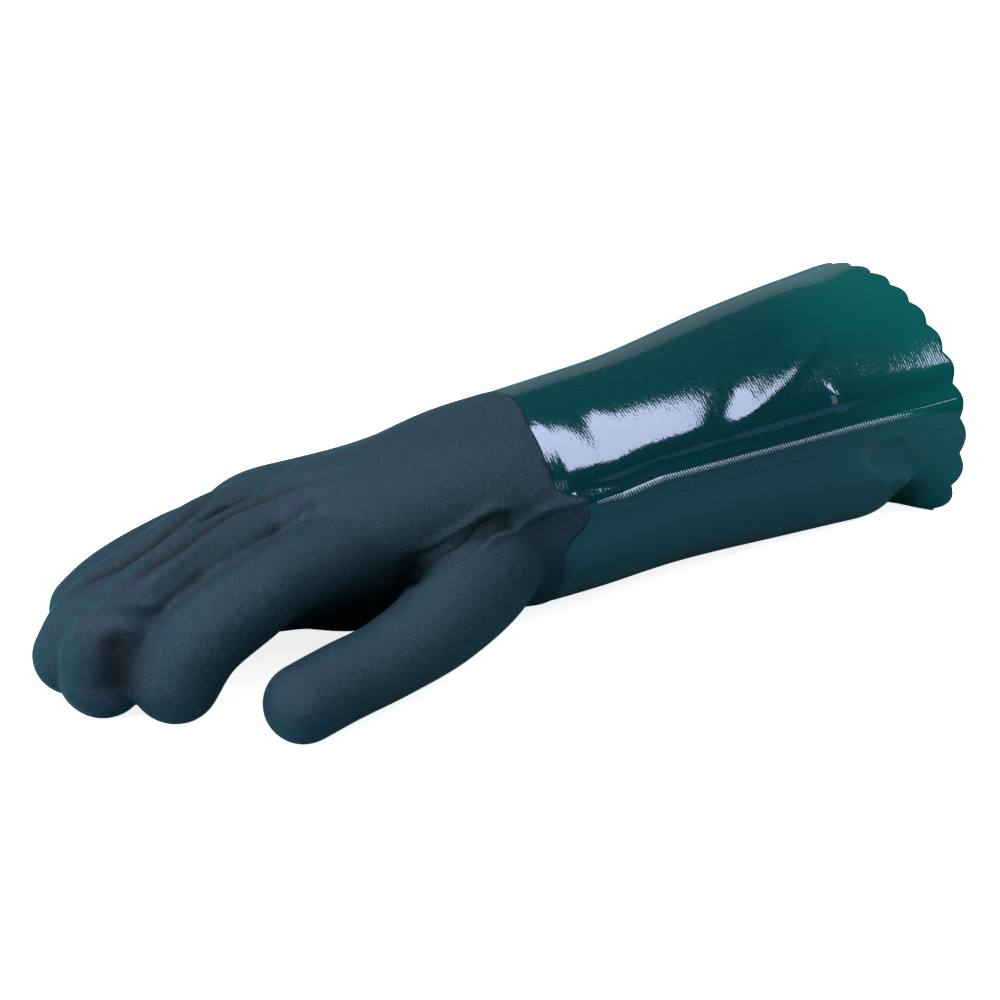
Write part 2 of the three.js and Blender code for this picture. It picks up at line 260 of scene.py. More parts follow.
def closedTube(points):
    # Rings with a fan to the middle of each end, as points, quads and triangles.
    rows, columns, _ = points.shape
    quads = gridFaces(rows, columns)
    j = np.arange(columns)
    k = (j + 1) % columns
    first, last = rows * columns, rows * columns + 1
    end = (rows - 1) * columns
    fans = np.vstack([np.stack([np.full(columns, first), j, k], -1),
                      np.stack([np.full(columns, last), end + k, end + j], -1)])
    return np.vstack([points.reshape(-1, 3), points[0].mean(0), points[-1].mean(0)]), quads, fans


def meshFrom(name, points, quads, triangles=None):
    # A smooth-shaded mesh from arrays of points, quads and, where there are any, triangles.
    triangles = np.zeros((0, 3), int) if triangles is None else triangles
    counts = np.concatenate([np.full(len(quads), 4), np.full(len(triangles), 3)])
    corners = np.concatenate([quads.ravel(), triangles.ravel()])
    mesh = bpy.data.meshes.new(name)
    mesh.vertices.add(len(points))
    mesh.vertices.foreach_set("co", np.ascontiguousarray(points, np.float32).ravel())
    mesh.loops.add(len(corners))
    mesh.loops.foreach_set("vertex_index", corners.astype(np.int32))
    mesh.polygons.add(len(counts))
    mesh.polygons.foreach_set("loop_start", np.concatenate([[0], np.cumsum(counts)[:-1]]).astype(np.int32))
    mesh.polygons.foreach_set("use_smooth", np.ones(len(counts), bool))
    mesh.update(calc_edges=True)
    mesh.validate()
    return mesh


def pieceFrom(name, mesh, node):
    piece = bpy.data.objects.new(name, mesh)
    bpy.context.scene.collection.objects.link(piece)
    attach(piece, "root")
    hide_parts(node)
    return piece


def remeshed(tubes, voxel):
    # One skin over all the closed tubes: Blender's voxel remesh, read back as points and quads.
    offset, points, quads, fans = 0, [], [], []
    for tubePoints, tubeQuads, tubeFans in tubes:
        points.append(tubePoints)
        quads.append(tubeQuads + offset)
        fans.append(tubeFans + offset)
        offset += len(tubePoints)
    mesh = meshFrom("block", np.vstack(points), np.vstack(quads), np.vstack(fans))
    block = bpy.data.objects.new("block", mesh)
    bpy.context.scene.collection.objects.link(block)
    modifier = block.modifiers.new("remesh", "REMESH")
    modifier.mode, modifier.voxel_size, modifier.adaptivity = "VOXEL", voxel, 0.0
    done = bpy.data.meshes.new_from_object(block.evaluated_get(bpy.context.evaluated_depsgraph_get()))
    skin = np.empty(len(done.vertices) * 3, np.float32)
    done.vertices.foreach_get("co", skin)
    faces = np.empty(len(done.loops), np.int32)
    done.loops.foreach_get("vertex_index", faces)
    bpy.data.objects.remove(block)
    return skin.reshape(-1, 3).astype(float), faces.reshape(-1, 4)


def edgesOf(quads):
    # Every edge once, as its two points, and how many faces have it.
    pairs = np.sort(np.stack([quads, np.roll(quads, -1, 1)], -1).reshape(-1, 2), 1)
    size = quads.max() + 1
    keys, counts = np.unique(pairs[:, 0].astype(np.int64) * size + pairs[:, 1], return_counts=True)
    return np.stack([keys // size, keys % size], -1), counts


def smoothed(points, edges, times, share=0.5):
    # Each point moves a share of the way to the mean of its neighbours, again and again.
    n = len(points)
    ends = np.concatenate([edges[:, 0], edges[:, 1]])
    others = np.concatenate([edges[:, 1], edges[:, 0]])
    degree = np.maximum(np.bincount(ends, minlength=n), 1)
    share = np.broadcast_to(np.asarray(share, float), (n,))
    for _ in range(times):
        mean = np.stack([np.bincount(ends, points[others, k], n) for k in range(3)], -1) / degree[:, None]
        points = points + (mean - points) * share[:, None]
    return points


def normalsOf(points, quads):
    # Mean of the faces' own normals round each point, from the cross product of their diagonals.
    face = np.cross(points[quads[:, 2]] - points[quads[:, 0]], points[quads[:, 3]] - points[quads[:, 1]])
    sums = [np.bincount(quads.ravel(), np.repeat(face[:, k], 4), len(points)) for k in range(3)]
    normals = np.stack(sums, -1)
    return normals / np.maximum(np.linalg.norm(normals, axis=1), 1e-9)[:, None]


def fromLine(pixels, line):
    # Distance of each place in the picture from a bent line, signed by its side, and the share along it.
    line = np.asarray(line, float)
    starts, ends = line[:-1], line[1:]
    spans = ends - starts
    lengths = np.linalg.norm(spans, axis=1)
    before = np.concatenate([[0], np.cumsum(lengths)[:-1]])
    best = np.full(len(pixels), 1e9)
    side, along = np.zeros(len(pixels)), np.zeros(len(pixels))
    for start, span, length, done in zip(starts, spans, lengths, before):
        rel = pixels - start
        t = np.clip(rel @ span / length**2, 0, 1)
        away = rel - t[:, None] * span
        d = np.linalg.norm(away, axis=1)
        nearer = d < best
        best = np.where(nearer, d, best)
        side = np.where(nearer, np.sign(span[0] * rel[:, 1] - span[1] * rel[:, 0]), side)
        along = np.where(nearer, (done + t * length) / lengths.sum(), along)
    return best * side, along


# A fold's usual share of its line to fade in and out over, how many widths it reaches, and how squarely
# the skin faces the camera where the fold has its full height.
foldSettings = {"fade": 0.2, "reach": 4.0, "facing": 0.25}


def foldAmount(pixels, fold):
    # Gaussian ridge or groove across a line, which fades in and out along it. Positive stands proud.
    across, along = fromLine(pixels, fold["line"])
    fadeIn, fadeOut = (fold.get(key, foldSettings["fade"]) for key in ("fadeIn", "fadeOut"))
    fades = np.interp(along, [0, fadeIn, 1 - fadeOut, 1], [0, 1, 1, 0])
    height = fold["height"] * np.exp(-((across / fold["width"]) ** 2))
    # How much painted shade the fold lays on the colour beside its line.
    darkness = fold.get("shade", 0) * np.exp(-((across / fold.get("shadeWidth", fold["width"])) ** 2))
    return height * fades, darkness * fades


def folded(points, quads, shift, folds):
    # Moves what faces the camera along its normals by the folds, which are lines in the picture, and
    # returns how much painted shade each point gets from them too.
    normals = normalsOf(points, quads)
    facing = np.clip((normals @ cameraAxes(camera)[2]) / foldSettings["facing"], 0, 1)
    pixels = toPixels(points, shift)
    shade = np.zeros(len(points))
    for fold in folds.values():
        lines = np.asarray(fold["line"], float)
        reach = foldSettings["reach"] * max(fold["width"], fold.get("shadeWidth", 0))
        close = np.all((pixels > lines.min(0) - reach) & (pixels < lines.max(0) + reach), 1)
        height, darkness = foldAmount(pixels[close], fold)
        points[close] += normals[close] * (height * facing[close])[:, None]
        shade[close] = np.maximum(shade[close], darkness * facing[close])
    return points, shade


# Where the matte coat ends, as turn round the body and x in millimetres.
coatEdge = [
    [0, 0.5], [3, 2.5], [7, 4.6], [12, 5.4], [16, 5.2], [19, 3.6], [24, -4.0], [27, -5.6], [32, -6.0],
    [42, -6.0], [62, -4.5], [86, 0.5], [95, 1.5], [120, 1.0], [180, -1.0], [270, 0.0], [310, 1.0],
    [332, -2.0], [350, -4.0], [357, -2.0], [360, 0.5],
]
# How far past the edge a quad may reach in millimetres, the degrees searched past a whole turn, and the
# number of places tried.
edgeSearch = {"margin": 0.3, "overlap": 20.0, "places": 4000}


def coatEdgeAt(turn):
    table = np.asarray(coatEdge, float)
    return np.interp(turn % 360, table[:, 0], table[:, 1])


def turnOf(points):
    # Turn round the body's middle line, from the near side over the top.
    y, z = middleAt(points[:, 0])
    return np.degrees(np.arctan2(points[:, 2] - z, y - points[:, 1])) % 360


def loopTurned(points, degrees):
    # The points of a loop turned round the body's middle line by small angles, with the loop's own reach.
    y, z = middleAt(points[:, 0])
    away, up = y - points[:, 1], points[:, 2] - z
    angle = np.degrees(np.arctan2(up, away))
    order = np.argsort(angle)
    reach = np.interp(angle + degrees, angle[order], np.hypot(away, up)[order], period=360)
    final = np.radians(angle + degrees)
    return np.stack([points[:, 0], y - reach * np.cos(final), z + reach * np.sin(final)], -1)


def cutAtCoatEdge(points, quads):
    # Keeps the quads on the hand's side of the coat's edge and brings each point of the cut onto the
    # nearest place of that edge, round the body and along it. Returns the points and quads, the cut's
    # points in order of turn, and which of the old points are left.
    edge = coatEdgeAt(turnOf(points))
    keep = np.all(points[quads, 0] < edge[quads] + edgeSearch["margin"], 1)
    quads = quads[keep]
    used = np.unique(quads)
    index = np.zeros(len(points), int)
    index[used] = np.arange(len(used))
    points, quads = points[used].copy(), index[quads]
    edges, counts = edgesOf(quads)
    loop = np.unique(edges[counts == 1])
    arc = np.radians(wristRadius)
    around = np.linspace(-edgeSearch["overlap"], 360 + edgeSearch["overlap"], edgeSearch["places"])
    curve = np.stack([coatEdgeAt(around), around * arc], -1)
    turn = turnOf(points[loop])
    place = np.stack([points[loop, 0], turn * arc], -1)
    nearest = np.linalg.norm(place[:, None] - curve[None], axis=2).argmin(1)
    points[loop] = loopTurned(points[loop], around[nearest] - turn)
    points[loop, 0] = curve[nearest, 0]
    return points, quads, loop[np.argsort(around[nearest] % 360)], used


def zipped(points, outer, inner):
    # Triangles that join two loops, each in order of its turn round the body.
    a, b = turnOf(points[outer]), turnOf(points[inner])
    nextOuter, nextInner = np.roll(outer, -1), np.roll(inner, -1)
    c = np.searchsorted(b, np.roll(a, -1), "right") - 1
    d = np.searchsorted(a, np.roll(b, -1), "left") - 1
    return np.vstack([np.stack([nextOuter, outer, inner[c]], -1),
                      np.stack([inner, nextInner, outer[d]], -1)])


handSettings = {
    "wall": 2.0, "sideWall": 2.8,
    "start": 24.0,  # where the volume begins, on the cuff's side of the coat's edge
    "palmEnd": 0.64,  # where it ends under the fingers, as a share of handLength
    "palmMargin": 0.01, "palmInset": 1.3,  # what it stops short of that, and by how many insets more
    "outside": {"voxel": 1.0, "rows": 110, "columns": 200, "digitColumns": 66, "smoothing": 7},
    "inside": {"voxel": 2.6, "rows": 60, "columns": 120, "digitColumns": 40, "smoothing": 4},
    "digitSteps": 12,  # rings between two sections
    "thumbRoot": (-28.0, -26.0, 46.0), "thumbRootSize": (22.0, 16.0, 16.0), "blendShare": 0.5,
    "thumbBlend": 60, "afterFolds": 1,  # rounds of smoothing
}
# Lines in pixels of the picture; heights in millimetres, negative for grooves; widths in pixels. Shade
# is painted shade: how far the colour is darkened along the line, from 0 to 1.
handFolds = {
    # The pocket's groove gets painted shade as well as depth.
    "pocket": {"line": [(396, 586), (425, 569), (450, 555), (470, 543), (485, 529), (500, 522), (513, 520)],
               "height": -6.5, "width": 5.2, "shade": 1.0, "shadeWidth": 8.0,
               "fadeIn": 0.08, "fadeOut": 0.04},
    "pocketTopLip": {"line": [(400, 552), (430, 545), (455, 531), (476, 517), (494, 507), (512, 508),
                              (524, 514)],
                     "height": 1.3, "width": 5.0},
    "pocketEnd": {"line": [(476, 553), (496, 537), (515, 532), (524, 521), (546, 509), (592, 499)],
                  "height": 1.5, "width": 4.5, "fadeIn": 0.1, "fadeOut": 0.03},
    "middleDimple": {"line": [(294, 512), (302, 508), (316, 503)],
                     "height": -0.9, "width": 7.0, "shade": 0.45, "shadeWidth": 5.0},
    "middleIndexCrease": {"line": [(318, 506), (306, 512), (281, 530), (255, 548), (204, 577), (158, 613)],
                          "height": -1.6, "width": 6.0, "shade": 0.4, "shadeWidth": 6.0, "fadeIn": 0.1},
    "indexRidge": {"line": [(262, 562), (212, 592), (172, 620), (150, 646)], "height": 1.0, "width": 8.0},
    "ringMiddleCrease": {"line": [(345, 470), (310, 480), (281, 489), (255, 500), (230, 510), (204, 528),
                                  (179, 548), (153, 563), (128, 584), (110, 601)],
                         "height": -2.4, "width": 4.2, "shade": 1.0, "shadeWidth": 3.6, "fadeIn": 0.35},
    "littleRingCrease": {"line": [(222, 484), (201, 503), (179, 522), (153, 545), (122, 565), (89, 578),
                                  (62, 598)],
                         "height": -2.2, "width": 4.2, "shade": 1.0, "shadeWidth": 3.6},
    "middleRidge": {"line": [(255, 514), (204, 542), (160, 576), (128, 598)], "height": 0.9, "width": 6.0},
    "ringRidge": {"line": [(240, 489), (204, 514), (150, 554), (110, 588), (88, 606)],
                  "height": 1.0, "width": 5.0},
    "middleBend": {"line": [(80, 668), (78, 640), (84, 618), (98, 606), (120, 603), (142, 605), (164, 608)],
                   "height": 1.5, "width": 6.5, "fadeIn": 0.25, "fadeOut": 0.1},
    # Painted shadow: the middle finger's front is darkened where the index finger shades it, as well as
    # pushed in.
    "middleFront": {"line": [(118, 630), (116, 660), (117, 700)],
                    "height": -2.2, "width": 17.0, "shade": 0.85, "shadeWidth": 24.0},
}


def handVolume(side, inset=0.0, sideInset=0.0):
    # Closed tubes for the body and each digit, which overlap. A remesh makes them one.
    rows, columns, around = (handSettings[side][key] for key in ("rows", "columns", "digitColumns"))
    end = -handSettings["palmEnd"] * handLength + handSettings["palmMargin"]
    x = np.linspace(handSettings["start"], end + handSettings["palmInset"] * inset, rows)
    turn = np.arange(columns) * 360.0 / columns
    body = bodyPoint(*np.meshgrid(x, turn, indexing="ij"), inset)[::-1]
    tubes = [closedTube(body)]
    for name in digits:
        rings = digitPoints(name, handSettings["digitSteps"], around, inset, sideInset)
        tubes.append(closedTube(rings[::-1, ::-1]))
    return tubes


def handSkin(side, *insets):
    # One skin over the hand's tubes, smoothed, with its quads and edges.
    points, quads = remeshed(handVolume(side, *insets), handSettings[side]["voxel"])
    edges, _ = edgesOf(quads)
    return smoothed(points, edges, handSettings[side]["smoothing"]), quads, edges


def makeHand(shift):
    # The folded outside, the smaller inside and a strip that joins them where the coat ends. Returns the
    # piece and the points of that edge.
    points, quads, edges = handSkin("outside")
    fromRoot = (points - handSettings["thumbRoot"]) / handSettings["thumbRootSize"]
    near = np.exp(-(np.linalg.norm(fromRoot, axis=1) ** 2))
    points = smoothed(points, edges, handSettings["thumbBlend"], handSettings["blendShare"] * near)
    points, shade = folded(points, quads, shift, handFolds)
    points = smoothed(points, edges, handSettings["afterFolds"])
    points[:, 2] = np.maximum(points[:, 2], 0.0)
    points, quads, loop, kept = cutAtCoatEdge(points, quads)
    inner, innerQuads, _ = handSkin("inside", handSettings["wall"], handSettings["sideWall"])
    inner, innerQuads, innerLoop, _ = cutAtCoatEdge(inner, innerQuads)
    count = len(points)
    rim = zipped(np.vstack([points, inner]), loop, innerLoop + count)
    quads = np.vstack([quads, innerQuads[:, ::-1] + count])
    print("hand:", len(quads) * 2 + len(rim), "triangles")
    mesh = meshFrom("hand", (np.vstack([points, inner]) + shift) / metre, quads, rim)
    # The shade attribute carries the folds' painted shade to the coat's colour.
    shades = mesh.attributes.new("shade", "FLOAT", "POINT")
    shades.data.foreach_set("value", np.concatenate([shade[kept], np.zeros(len(inner))]).astype(np.float32))
    return pieceFrom("glove_hand", mesh, "hand"), points[loop]


def scallopCount(places=48):
    # As many scallops as fit round the mouth at about their pitch.
    turn = np.arange(places) * 360.0 / places
    mouth = bodyPoint(np.full(places, gauntlet["length"]), turn)
    girth = np.linalg.norm(mouth - np.roll(mouth, -1, 0), axis=1).sum()
    return int(round(girth / gauntlet["scallopPitch"]))


scallops = scallopCount()


def smoothStep(x):
    # From 0 to 1 with level ends: three squares less two cubes.
    x = np.clip(x, 0, 1)
    return x * x * (3 - 2 * x)


def cuffTurns():
    # The turn of each column, with the same number of columns to every scallop.
    columns = scallops * gauntlet["columnsPerScallop"]
    return np.arange(columns) * 360.0 / columns


def cuffSide(rows, turn, inset, depth=gauntlet["scallopDepth"]):
    # Rows from under the coat's edge to the rim. The last rows run back between the scallops by a depth
    # less a half sine over each scallop.
    share = np.linspace(0, 1, rows)[:, None]
    start = coatEdgeAt(turn) - gauntlet["underCoat"]
    plain = start + (gauntlet["length"] - start) * share
    phase = (turn * scallops / 360.0) % 1
    back = depth * (1 - np.sin(np.pi * phase))
    x = plain - back * smoothStep((plain - gauntlet["length"]) / gauntlet["scallopReach"] + 1)
    return bodyPoint(x, np.broadcast_to(turn, x.shape), inset)


cuffFolds = {
    "valley": {"line": [(716, 462), (724, 425), (736, 385), (775, 343), (830, 300)],
               "height": -0.5, "width": 15.0},
    "streak": {"line": [(730, 436), (754, 413), (792, 378), (826, 336)],
               "height": 0.6, "width": 6.5, "fadeIn": 0.95, "fadeOut": 0.05},
    "spot": {"line": [(834, 402), (844, 398)],
             "height": 0.8, "width": 12.0, "fadeIn": 0.01, "fadeOut": 0.01},
    "wristValley": {"line": [(560, 400), (585, 420), (602, 440), (622, 462)],
                    "height": -0.25, "width": 13.0, "fadeIn": 0.4, "fadeOut": 0.3},
    "mouthDent": {"line": [(908, 440), (886, 449), (873, 470)], "height": -2.6, "width": 14.0},
    "mouthBump": {"line": [(878, 490), (893, 474), (914, 479)], "height": 2.0, "width": 8.0},
}


def edgeOffset(turn, edge):
    # How far the hand's own edge lies off the body's plain skin at each turn, in y and z alone, less the
    # sink, and averaged over a few columns to each side.
    order = np.argsort(turnOf(edge))
    edgeTurn, edge = turnOf(edge)[order], edge[order]
    meets = np.stack([np.interp(turn, edgeTurn, edge[:, k], period=360) for k in range(3)], -1)
    outward = (meets - np.array([0.0, 0.0, wristRadius])) * [0, 1, 1]
    outward /= np.linalg.norm(outward, axis=1)[:, None]
    skin = bodyPoint(coatEdgeAt(turn), turn, gauntlet["sink"])
    offset = (meets - outward * gauntlet["sink"] - skin) * [0, 1, 1]
    near = gauntlet["averagedColumns"]
    return np.mean([np.roll(offset, k, 0) for k in range(-near, near + 1)], 0)


def makeCuff(shift, edge):
    # The outside and the inside, which rise to the hand's own edge, joined round the rim and at the wrist.
    turn = cuffTurns()
    offset, edgeX = edgeOffset(turn, edge), coatEdgeAt(turn)
    sides = []
    for rows, inset in ((gauntlet["rows"], gauntlet["sink"]), (gauntlet["innerRows"], gauntlet["wall"])):
        side = cuffSide(rows, turn, inset)
        nearness = np.exp(-((side[..., 0] - edgeX) / gauntlet["meetLength"]) ** 2)
        sides.append(side + offset[None] * nearness[..., None])
    outer, inner = sides
    rim = (outer[-1] + inner[-1]) / 2 + np.array([gauntlet["rimBulge"], 0, 0])
    rings = np.concatenate([outer, rim[None], inner[::-1]])
    points = rings.reshape(-1, 3)
    quads = gridFaces(len(rings), len(turn), True)
    outerQuads = quads[: (len(outer) - 1) * len(turn)]
    used = outer.size // 3
    before = points[:used].copy()
    points[:used] = folded(before.copy(), outerQuads, shift, cuffFolds)[0]
    # The inside follows the folds of the nearest rows of the outside.
    moved = (points[:used] - before).reshape(outer.shape)
    beneath = np.linspace(len(outer) - 1, 0, len(inner)).round().astype(int)
    points[used:] += np.concatenate([moved[-1:], moved[beneath]]).reshape(-1, 3)
    points[:, 2] = np.maximum(points[:, 2], 0.0)
    print("cuff:", len(quads) * 2, "triangles")
    mesh = meshFrom("cuff", (points + shift) / metre, quads)
    within = np.zeros(len(quads), np.int32)
    within[len(outer) * len(turn):] = 1
    mesh.polygons.foreach_set("material_index", within)
    return pieceFrom("gauntlet_cuff", mesh, "cuff")


seam = {
    "above": 2.1, "below": 5.0,  # reach up and down round the cuff
    "height": 1.05, "least": 0.08,  # and the share of the height that is left at the ends
    "stitch": 1.15, "stitchDepth": 0.4, "stitchPower": 0.5,
    "startTurn": 15.0, "startMargin": 0.5, "endMargin": 0.4, "fadeIn": 6.0, "fadeOut": 34.0,
    "skinInset": 0.22, "underInset": 0.65,
    "probe": 1.0,  # degrees to the place that gives the skin's slope
    "rows": 1200, "columns": 21,
}


def makeSeam(shift):
    # A rounded strip along the body: across it a squared cosine, along it fine stitches, each the square
    # root of a half sine.
    sink = gauntlet["sink"]
    first = float(coatEdgeAt(np.array([seam["startTurn"]]))[0]) - seam["startMargin"]
    last = gauntlet["length"] - gauntlet["scallopDepth"] - seam["endMargin"]
    x = np.linspace(first, last, seam["rows"])
    turn = seamTurnAt(x)
    above = bodyPoint(x, turn + seam["probe"], sink) - bodyPoint(x, turn, sink)
    above[:, 0] = 0
    above /= np.linalg.norm(above, axis=1)[:, None]
    out = np.stack([np.zeros(len(x)), -above[:, 2], above[:, 1]], -1)
    across = np.linspace(-1, 1, seam["columns"])
    arch = np.cos(np.pi / 2 * across) ** 2
    ends = smoothStep((x - x[0]) / seam["fadeIn"]) * smoothStep((x[-1] - x) / seam["fadeOut"])
    stitch = np.abs(np.sin(np.pi * x / seam["stitch"])) ** seam["stitchPower"]
    tall = seam["height"] * (seam["least"] + (1 - seam["least"]) * ends)
    tall -= seam["stitchDepth"] * (1 - stitch) * ends
    sides = np.degrees(across * np.where(across > 0, seam["above"], seam["below"]) / wristRadius)
    lengths, turns = np.broadcast_to(x[:, None], (len(x), len(sides))), turn[:, None] + sides
    top = bodyPoint(lengths, turns, seam["skinInset"]) + out[:, None] * (tall[:, None] * arch)[..., None]
    under = bodyPoint(lengths, turns, seam["underInset"])[:, ::-1]
    points, quads, fans = closedTube(np.concatenate([top, under], 1))
    print("seam:", len(quads) * 2 + len(fans), "triangles")
    mesh = meshFrom("side_seam", (points + shift) / metre, quads, fans)
    return pieceFrom("side_seam_welt", mesh, "side_seam")


class Wire:
    # An output of a shader node that can be added to, multiplied and so on.
    def __init__(self, finish, socket):
        self.finish, self.socket = finish, socket

    def maths(self, operation, *values):
        return self.finish.node("ShaderNodeMath", {"operation": operation}, dict(enumerate(values)))

    def __add__(self, other):
        return self.maths("ADD", self, other)

    def __sub__(self, other):
        return self.maths("SUBTRACT", self, other)

    def __rsub__(self, other):
        return self.maths("SUBTRACT", other, self)

    def __mul__(self, other):
        return self.maths("MULTIPLY", self, other)

    def __truediv__(self, other):
        return self.maths("DIVIDE", self, other)

    __radd__, __rmul__ = __add__, __mul__

    def sine(self):
        return self.maths("SINE", self)

    def clamped(self, low, high):
        # From 0 to 1, with level ends, as the value goes from low to high.
        settings = {"interpolation_type": "SMOOTHSTEP"}
        return self.finish.node("ShaderNodeMapRange", settings, {0: self, 1: low, 2: high})


class Finish:
    # A material with one Principled shader, whose constants are given by name.
    def __init__(self, name, **plain):
        self.material = bpy.data.materials.new(name)
        self.material.use_nodes = True
        self.tree = self.material.node_tree
        self.shader = self.tree.nodes["Principled BSDF"]
        for key, value in plain.items():
            self.shader.inputs[key].default_value = value

    def node(self, kind, settings, inputs, output=0):
        # Any node: its settings first, then its inputs' values or links. Returns one output.
        made = self.tree.nodes.new(kind)
        for key, value in settings.items():
            setattr(made, key, value)
        for key, value in inputs.items():
            self.join(value, made.inputs[key])
        return Wire(self, made.outputs[output])

    def join(self, value, socket):
        if isinstance(value, Wire):
            self.tree.links.new(value.socket, socket)
        else:
            socket.default_value = value

    def place(self):
        return self.node("ShaderNodeTexCoord", {}, {}, "Object")

    def alongGlove(self):
        # The distance along the glove, in metres.
        return self.node("ShaderNodeSeparateXYZ", {}, {0: self.place()}, "X")

    def noise(self, scale, detail, roughness):
        inputs = {"Vector": self.place(), "Scale": scale, "Detail": detail, "Roughness": roughness}
        return self.node("ShaderNodeTexNoise", {}, inputs)

    def blend(self, mask, first, second):
        # The first colour where the mask is 0 and the second where it is 1.
        made = self.tree.nodes.new("ShaderNodeMix")
        made.data_type = "RGBA"
        self.join(mask, made.inputs["Factor"])
        # A Mix node has a set of sockets for each kind of value, and the colours are the third.
        for value, socket in ((first, made.inputs[6]), (second, made.inputs[7])):
            self.join(value, socket)
        return Wire(self, made.outputs[2])

    def bump(self, height, distance):
        normal = self.node("ShaderNodeBump", {}, {"Height": height, "Distance": distance, "Strength": 1.0})
        self.join(normal, self.shader.inputs["Normal"])

    def set(self, **wires):
        # Joins values to the shader's sockets, named with _ for a space.
        for key, value in wires.items():
            self.join(value, self.shader.inputs[key.replace("_", " ")])


def colour(red, green, blue):
    # From the 0 to 255 of a picture to linear light.
    values = np.array([red, green, blue]) / 255.0
    linear = np.where(values <= 0.04045, values / 12.92, ((values + 0.055) / 1.055) ** 2.4)
    return (*linear.tolist(), 1.0)


sheenTint = (0.74, 0.78, 1.0, 1.0)


def coatFinish(name, specular):
    # A PVC coat, whose gloss is a little blue.
    return Finish(name, **{"Specular IOR Level": specular, "Specular Tint": sheenTint})


# Noises in the finishes: scale, detail and roughness. Ranges: where a noise goes from 0 to 1. Heights are
# shares of the relief, which is in metres.
sandy = {
    "specular": 0.42, "roughness": 0.38, "relief": 0.00045,
    "sand": (1500.0, 3.0, 0.7), "sandRange": (0.36, 0.64), "sandHeight": 1.3,
    "specks": (2300.0, 1.0, 0.5), "speckRange": (0.56, 0.72), "speckHeight": 0.6,
    "speckColour": colour(92, 124, 146), "speckShare": 0.4, "speckGloss": 0.15,
    "patches": (38.0, 3.0, 0.5), "patchRange": (0.35, 0.7),
    "patchColours": (colour(2, 46, 49), colour(4, 42, 52)),
    "betweenGrains": colour(2, 16, 22), "betweenShare": 0.85,
    # Painted shade: the near-black colour that the shade attribute darkens the coat towards, how far it
    # goes, and the roughness it adds.
    "paintedShadeColour": colour(1, 6, 9), "paintedShadeShare": 0.95, "creaseRoughness": 0.5,
}


def matteCoat():
    # Fine sand with pale specks over two close shades of teal, with painted shade that makes it darker and
    # rougher where the shade attribute marks creases.
    made = coatFinish("matte_sandy_coat", sandy["specular"])
    sand = made.noise(*sandy["sand"])
    specks = made.noise(*sandy["specks"]).clamped(*sandy["speckRange"])
    patches = made.noise(*sandy["patches"]).clamped(*sandy["patchRange"])
    base = made.blend(patches, *sandy["patchColours"])
    dark = made.blend(sandy["betweenShare"], base, sandy["betweenGrains"])
    base = made.blend(sand.clamped(*sandy["sandRange"]), dark, base)
    base = made.blend(specks * sandy["speckShare"], base, sandy["speckColour"])
    # The shade attribute is painted shade along the creases, the pocket and the middle finger's shadowed
    # front; it darkens the colour towards near black.
    shade = made.node("ShaderNodeAttribute", {"attribute_name": "shade"}, {}, "Fac")
    base = made.blend(shade * sandy["paintedShadeShare"], base, sandy["paintedShadeColour"])
    roughness = sandy["roughness"] - specks * sandy["speckGloss"] + shade * sandy["creaseRoughness"]
    made.set(Base_Color=base, Roughness=roughness)
    made.bump(sand * sandy["sandHeight"] + specks * sandy["speckHeight"], sandy["relief"])
    return made.material


glossy = {
    "specular": 0.7, "roughness": 0.05, "relief": 0.0003,
    "greens": (colour(0, 48, 50), colour(0, 76, 71)),
    "rimward": (0.095, 0.172),  # metres along the glove, from the first green to the second
    "knit": (700.0, 2.0, 0.5), "knitRange": (0.35, 0.75), "knitHeight": 0.12, "knitRoughness": 0.06,
    "knitColour": colour(8, 66, 72), "knitShare": 0.3,
    "waves": (90.0, 2.0, 0.5), "waveHeight": 0.3,
    "ribPitch": 1.1,  # millimetres
    "wander": (45.0, 2.0, 0.5), "wanderTurns": 2.5,
    "ribHeight": 0.008, "ribGrowth": 0.006,  # at the wrist, and what is added at the rim
}


def glossCoat():
    # Green gloss over a knit, greener towards the rim, with fine ribs round the cuff: the sine of the
    # distance along it, which wanders a little.
    made = coatFinish("gloss_green_coat", glossy["specular"])
    along = made.alongGlove()
    turns = along * metre / glossy["ribPitch"] + made.noise(*glossy["wander"]) * glossy["wanderTurns"]
    ribs = (turns * (2 * math.pi)).sine()
    knit = made.noise(*glossy["knit"])
    waves = made.noise(*glossy["waves"])
    rimward = along.clamped(*glossy["rimward"])
    base = made.blend(rimward, *glossy["greens"])
    base = made.blend(knit.clamped(*glossy["knitRange"]) * glossy["knitShare"], base, glossy["knitColour"])
    made.set(Base_Color=base, Roughness=glossy["roughness"] + knit * glossy["knitRoughness"])
    ribHeight = glossy["ribHeight"] + rimward * glossy["ribGrowth"]
    height = ribs * ribHeight + knit * glossy["knitHeight"] + waves * glossy["waveHeight"]
    made.bump(height, glossy["relief"])
    return made.material


jersey = {
    "roughness": 0.8, "relief": 0.0004, "ribHeight": 0.3,
    "knit": (900.0, 2.0, 0.5), "knitRange": (0.3, 0.7), "colours": (colour(20, 66, 62), colour(40, 92, 86)),
}


def jerseyBack():
    # The knitted inside: a matte knit with ribs at the same pitch as the coat's.
    made = Finish("jersey_back", Roughness=jersey["roughness"])
    ribs = (made.alongGlove() * (2 * math.pi * metre / glossy["ribPitch"])).sine()
    knit = made.noise(*jersey["knit"])
    made.set(Base_Color=made.blend(knit.clamped(*jersey["knitRange"]), *jersey["colours"]))
    made.bump(ribs * jersey["ribHeight"] + knit, jersey["relief"])
    return made.material


weltFinish = {"roughness": 0.08, "relief": 0.00003}


def weltCoat():
    # The coat's own green over the seam, where the stitches are in the mesh.
    made = coatFinish("welt_coat", glossy["specular"])
    rimward = made.alongGlove().clamped(*glossy["rimward"])
    made.set(Base_Color=made.blend(rimward, *glossy["greens"]), Roughness=weltFinish["roughness"])
    made.bump(made.noise(*glossy["knit"]), weltFinish["relief"])
    return made.material


